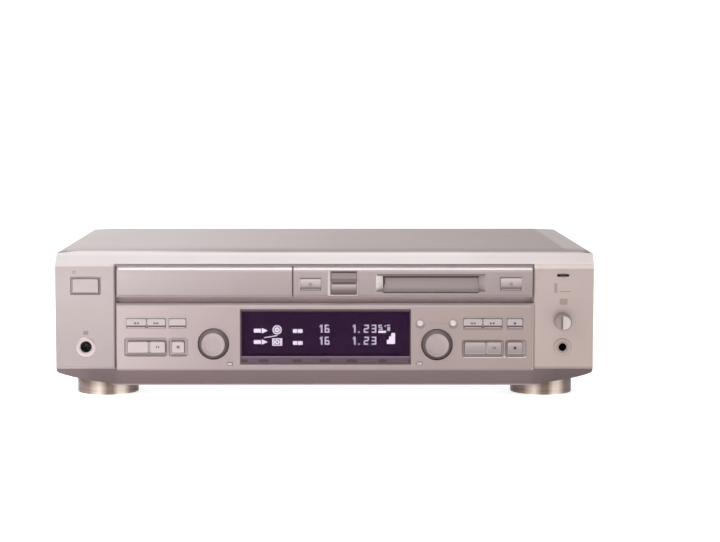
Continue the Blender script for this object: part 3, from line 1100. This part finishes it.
# dished faces of the dubbing keys: the upper one falls away downwards, the lower one curls in at the foot
DUB_A = graded("dub_upper", "Z", 0.0938, 0.1017, [(0.0, (0.18, 0.14, 0.14)), (0.34, (0.16, 0.12, 0.12)), (0.44, (0.28, 0.23, 0.23)), (1.0, (0.26, 0.21, 0.21))], 0.2, 0.4)
DUB_B = graded("dub_lower", "Z", 0.0839, 0.0924, [(0.0, (0.06, 0.04, 0.04)), (0.45, (0.20, 0.155, 0.15)), (1.0, (0.56, 0.47, 0.47))], 0.2, 0.4)
strip_x("dub_face_upper", [(-1.47, 93.95), (-1.5, 94.4), (-1.62, 97.2), (-1.62, 101.0), (-1.5, 101.5), (-1.3, 101.6), (-1.3, 93.9)],
        5.45, 25.45, DUB_A, "dub_key_high", "key_silver")
strip_x("dub_face_lower", [(-1.3, 84.05), (-1.45, 84.3), (-1.62, 85.6), (-1.62, 91.6), (-1.5, 92.2), (-1.3, 92.3)],
        5.45, 25.45, DUB_B, "dub_key_normal", "key_silver")
# wedge faces of the two eject keys
EJ = graded("eject_face", "Z", 0.0875, 0.0966, [(0.0, (0.15, 0.11, 0.11)), (0.24, (0.18, 0.14, 0.14)), (0.34, (0.36, 0.30, 0.30)), (1.0, (0.60, 0.53, 0.53))], 0.2, 0.4)
strip_x("eject_face_cd", [(-0.9, 87.62), (-1.22, 88.1), (-1.28, 89.7), (-1.3, 90.0), (-1.3, 95.7), (-1.26, 96.3), (-1.15, 96.45)], -19.3, -2.9, EJ, "cd_key_open", "key_silver")
strip_x("eject_face_md", [(-0.9, 87.62), (-1.22, 88.1), (-1.28, 89.7), (-1.3, 90.0), (-1.3, 96.3), (-1.26, 96.9), (-1.15, 97.05)], 140.7, 157.4, EJ, "md_key_eject", "key_silver")

# ---------------------------------------------------------------- cheek details
sc = lathe("socket_collar", [(4.75, -0.34), (5.9, -0.44), (7.3, -0.40), (8.0, -0.03), (8.0, 0.02), (7.2, -0.28), (4.75, -0.28), (4.75, -0.34)],
           -190.8, 41.9, 96, mat["front_silver"], "chassis", "front_silver")
auto_smooth(sc, 50)
b_ = bmesh.new()
ring_prism(b_, disc_pts(-190.8, 41.9, 4.8, 64), disc_pts(-190.8, 41.9, 4.32, 64), -0.36, -0.26)
to_obj("socket_lip", b_, T_DARK, "chassis", "black_plastic")
b_ = bmesh.new()
ring_prism(b_, disc_pts(190.5, 41.8, 3.19, 48), disc_pts(190.5, 41.8, 3.05, 48), -0.4, 30.0)
to_obj("jack_sleeve", b_, mat["black_plastic"], "chassis", "plated")
JACK_TONE = tone("jack_bush_tone", (0.33, 0.265, 0.245))
JACK_RING = tone("jack_ring_tone", (0.405, 0.330, 0.305), 0.5, 0.38)
b_ = bmesh.new()
ring_prism(b_, disc_pts(190.5, 41.8, 5.1, 64), disc_pts(190.5, 41.8, 3.4, 64), -0.92, -0.78)
to_obj("jack_bush_face", b_, JACK_TONE, "chassis", "plated")
b_ = bmesh.new()
ring_prism(b_, disc_pts(190.5, 41.8, 7.3, 72), disc_pts(190.5, 41.8, 6.2, 72), -0.05, 0.02)
to_obj("jack_gap_ring", b_, JACK_RING, "chassis", "front_silver")
# faint outline and mark on the right cheek, sign over the socket, power sign
FAINT = finish_mat("print_faint", (0.36, 0.290, 0.270), 0.2, 0.42, 0.05, 60.0, 2600.0, 0.05, edge=0.0)
b_ = bmesh.new()
add_prism(b_, round_pts(183.4, 85.2, 186.0, 93.2, 0.8), -0.03, 0.02)
add_prism(b_, round_pts(187.9, 75.7, 194.2, 80.7, 0.6), -0.03, 0.02)
add_prism(b_, round_pts(187.6, 85.9, 197.2, 86.8, 0.3), -0.03, 0.02)
to_obj("cheek_print", b_, FAINT, "chassis", "front_silver")
b_ = bmesh.new()
ring_prism(b_, disc_pts(-199.9, 101.7, 1.35, 40), disc_pts(-199.9, 101.7, 0.95, 40), -0.03, 0.02)
add_prism(b_, box_pts(-200.1, 101.7, -199.7, 103.3), -0.04, 0.01)
add_prism(b_, round_pts(-193.0, 51.6, -188.8, 54.6, 0.5), -0.03, 0.02)
to_obj("cheek_signs", b_, INK_SOFT, "chassis", "front_silver")
# outline of the power key, shaded towards its right and lower sides
frame4("power_outline", (-202.8, 83.8, -178.6, 98.3), (-201.15, 85.45, -180.25, 96.65), 1.06, 1.18, (T_SOFT, T_SOFT, T_MID, T_MID), 1.6)
# rolled lips round the two round keys
KEY_DISH = graded("round_key_dish", "Z", 0.0561, 0.0644, [(0.0, (0.31, 0.26, 0.25)), (0.3, (0.29, 0.24, 0.23)), (1.0, (0.40, 0.34, 0.33))], 0.3, 0.4)
KEY_LIP = graded("round_key_lip", "Z", 0.0577, 0.0645, [(0.0, (0.22, 0.18, 0.17)), (0.5, (0.37, 0.30, 0.29)), (1.0, (0.40, 0.33, 0.32))], 0.4, 0.4)
for nm_, kx_ in (("a", 76.7), ("b", 103.0)):
    b_ = bmesh.new()
    ring_prism(b_, disc_pts(kx_, 61.1, 3.35, 56), disc_pts(kx_, 61.1, 2.68, 56), -0.12, 0.02)
    to_obj("round_key_lip_" + nm_, b_, KEY_LIP, "chassis", "front_silver")
    b_ = bmesh.new()
    ring_prism(b_, disc_pts(kx_, 60.25, 4.15, 56), disc_pts(kx_, 61.1, 3.28, 56), -0.045, 0.02)
    to_obj("round_key_dish_" + nm_, b_, KEY_DISH, "chassis", "front_silver")
# printed bar between the two round keys
b_ = bmesh.new()
add_prism(b_, round_pts(83.2, 60.3, 99.6, 61.0, 0.3), -0.03, 0.02)
to_obj("key_link_print", b_, FAINT, "chassis", "front_silver")

# ---------------------------------------------------------------- level knob: D-shaped raised half
def half_disc(cx, cz, rad, x_cut, n=40):
    a0 = math.acos(max(-1, min(1, (x_cut - cx) / rad)))
    out = [(cx + rad * math.cos(-a0 + 2 * a0 * k / n), cz + rad * math.sin(-a0 + 2 * a0 * k / n)) for k in range(n + 1)]
    return out


KNOB = cap_mat("knob_turned", 190.5, 62.4, (0.30, 0.25, 0.24))
kb = lathe("level_knob_body", [(0.0, 17.0), (2.5, 17.0), (2.5, 8.0), (3.2, 8.0), (3.2, -0.6), (6.6, -0.6), (6.8, -0.8), (6.8, -2.6), (6.45, -9.0),
                               (6.2, -9.6), (5.8, -9.8), (0.0, -9.9)], 190.5, 62.4, 128, KNOB, "level_knob", "dial_metal")
auto_smooth(kb, 35)
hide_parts("level_knob")
b_ = bmesh.new()
add_prism(b_, half_disc(190.5, 62.4, 5.35, 189.7), -11.35, -9.8)
hd = to_obj("level_knob_face", b_, T_LIP, "level_knob", "dial_metal")
bevel(hd, 0.3, 2)
b_ = bmesh.new()
add_prism(b_, box_pts(188.2, 57.3, 189.6, 67.5), -10.0, -9.85)
to_obj("level_knob_step", b_, T_DARK, "level_knob", "dial_metal")

R1 = -1.2
sign("sign_cd_back", "cd_key_mode", R1, skip(-150.4, 61.0, -1))
sign("sign_cd_fwd", "cd_key_display", R1, skip(-134.3, 61.0, 1))
sign("sign_cd_pause", "cd_key_pause", -0.9, [("box", (-134.9, 40.9, -134.0, 42.7)), ("box", (-133.0, 40.9, -132.1, 42.7))])
sign("sign_cd_stop", "cd_key_stop", -0.9, [("box", (-118.2, 40.7, -115.9, 42.9))])
sign("sign_md_back", "md_key_mode", R1, skip(118.7, 60.9, -1))
sign("sign_md_fwd", "md_key_display", R1, skip(134.5, 60.9, 1))
sign("sign_md_rec", "md_key_record", R1, [("disc", (152.3, 60.9, 1.1))])
sign("sign_md_pause", "md_key_pause", -0.9, [("box", (134.6, 40.2, 135.4, 41.9)), ("box", (136.3, 40.2, 137.1, 41.9))], None, 0.04)
sign("sign_md_stop", "md_key_stop", -0.9, [("box", (151.3, 40.0, 153.5, 42.1))], INK_DARK, 0.04)
for nm_, bd, cx, cz in (("sign_cd_eject", "cd_key_open", -11.1, 92.3), ("sign_md_eject", "md_key_eject", 149.0, 92.5)):
    sign(nm_, bd, R1 - 0.12, [("tri", [(cx - 1.7, cz - 0.2), (cx + 1.7, cz - 0.2), (cx, cz + 1.5)]), ("box", (cx - 1.7, cz - 1.2, cx + 1.7, cz - 0.6))], INK_SOFT)

# =====================================================================
#  rear: folded side flanges, line jacks with plated shells, pins, printed frame
# =====================================================================
REAR_STEEL = COVER
for nm_, sx in (("left", -1), ("right", 1)):
    prof_ = [(211.45, 281.25), (213.45, 281.25), (213.6, 281.4), (213.6, 281.95), (213.45, 282.1), (211.45, 282.1)]
    fl_ = prism_z("rear_flange_" + nm_, [(sx * x, y) for x, y in prof_], 24.4, 114.4, REAR_STEEL, "chassis", "cover_silver")
JACK_WHITE = finish_mat("jack_white", (0.72, 0.70, 0.67), 0.0, 0.42, 0.04, 60.0, 2400.0, 0.1, edge=0.0)
JACK_RED = finish_mat("jack_red", (0.48, 0.030, 0.035), 0.0, 0.42, 0.06, 60.0, 2400.0, 0.1, edge=0.0)
b_ = bmesh.new()
add_prism(b_, round_pts(12.0, 27.6, 72.0, 62.0, 1.2), 262.0, 281.0)
for jx in (20, 42, 64):
    for jz in (38, 54):
        ring_prism(b_, disc_pts(jx, jz, 5.0, 48), disc_pts(jx, jz, 1.9, 48), 280.6, 283.4)
block = to_obj("line_jack_block", b_, mat["black_plastic"], "chassis", "black_plastic")
bevel(block, 0.3, 2)
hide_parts("line_jacks")
for jx in (20, 42, 64):
    for jz, ins in ((38, JACK_RED), (54, JACK_WHITE)):
        tag_ = "%d_%d" % (jx, jz)
        sh = lathe("jack_shell_" + tag_, [(3.45, 283.2), (4.15, 283.2), (4.15, 290.7), (4.0, 291.1), (3.75, 291.18), (3.5, 291.05), (3.45, 290.8), (3.45, 283.2)],
                   jx, jz, 48, mat["plated"], "chassis", "black_plastic")
        auto_smooth(sh, 40)
        ins_ = lathe("jack_insulator_" + tag_, [(1.72, 283.0), (3.3, 283.0), (3.3, 289.9), (3.1, 290.2), (1.95, 290.2), (1.72, 289.95), (1.72, 283.0)],
                     jx, jz, 48, ins, "chassis", "black_plastic")
        auto_smooth(ins_, 40)
        ct = lathe("jack_contact_" + tag_, [(1.35, 283.0), (1.66, 283.0), (1.66, 289.4), (1.55, 289.6), (1.4, 289.5), (1.35, 283.0)],
                   jx, jz, 36, mat["plated"], "chassis", "black_plastic")
        auto_smooth(ct, 40)
for k_, pxm in enumerate((-177.3, -168.7)):
    pn = lathe("inlet_pin_%d" % (k_ + 1), [(1.22, 271.2), (1.27, 271.4), (1.27, 278.9), (1.0, 279.25), (0.0, 279.3)], pxm, 43.0, 28, mat["plated"], "chassis", "black_plastic")
# crosses in the heads of the three cover screws
b_ = bmesh.new()
for sx_ in (-180.0, 0.0, 180.0):
    t_ = math.radians(17.0 + 0.31 * sx_)
    for k_ in range(2):
        ca, sa = math.cos(t_ + k_ * math.pi / 2), math.sin(t_ + k_ * math.pi / 2)
        pts_ = [(sx_ + ca * u - sa * v, 110.6 + sa * u + ca * v) for u, v in ((-1.7, -0.35), (1.7, -0.35), (1.7, 0.35), (-1.7, 0.35))]
        add_prism(b_, pts_, 285.0, 285.24)
to_obj("screw_crosses", b_, BRUSH, "chassis", "screw_black")
for k_, sx_ in enumerate((-180.0, 0.0, 180.0)):
    wsh = lathe("screw_rim_%d" % (k_ + 1), [(2.3, 285.18), (2.75, 285.24), (3.02, 285.05), (3.14, 284.6), (3.14, 283.7), (3.05, 283.7), (2.3, 285.1), (2.3, 285.18)],
                sx_, 110.6, 48, mat["screw_black"], "chassis", "screw_black")
    auto_smooth(wsh, 50)
# printed frames round the jack groups on the rear panel
b_ = bmesh.new()
for fx0, fz0, fx1, fz1 in ((13.0, 30.2, 71.0, 61.8), (97.0, 27.2, 133.0, 46.4), (-189.0, 33.2, -157.0, 52.8)):
    ring_prism(b_, round_pts(fx0, fz0, fx1, fz1, 1.5), round_pts(fx0 + 0.35, fz0 + 0.35, fx1 - 0.35, fz1 - 0.35, 1.2), 282.17, 282.24)
for fx0, fx1 in ((31.0, 31.3), (53.0, 53.3)):
    add_prism(b_, box_pts(fx0, 30.6, fx1, 61.4), 282.17, 282.24)
to_obj("rear_print", b_, INK, "chassis", "cover_silver")
# small printed marks beside the jacks: channel bars and arrows for the signal's way
b_ = bmesh.new()
for jx in (20, 42, 64):
    add_prism(b_, [(jx - 1.2, 63.2), (jx + 1.2, 63.2), (jx, 65.0)] if jx != 64 else [(jx, 63.2), (jx + 1.2, 65.0), (jx - 1.2, 65.0)], 282.17, 282.24)
for ox_, way_ in ((106.0, -1), (124.0, 1)):
    add_prism(b_, [(ox_ - 1.2, 47.6 if way_ > 0 else 49.4), (ox_ + 1.2, 47.6 if way_ > 0 else 49.4), (ox_, 49.4 if way_ > 0 else 47.6)], 282.17, 282.24)
to_obj("rear_arrows", b_, INK, "chassis", "cover_silver")

bpy.context.view_layer.update()
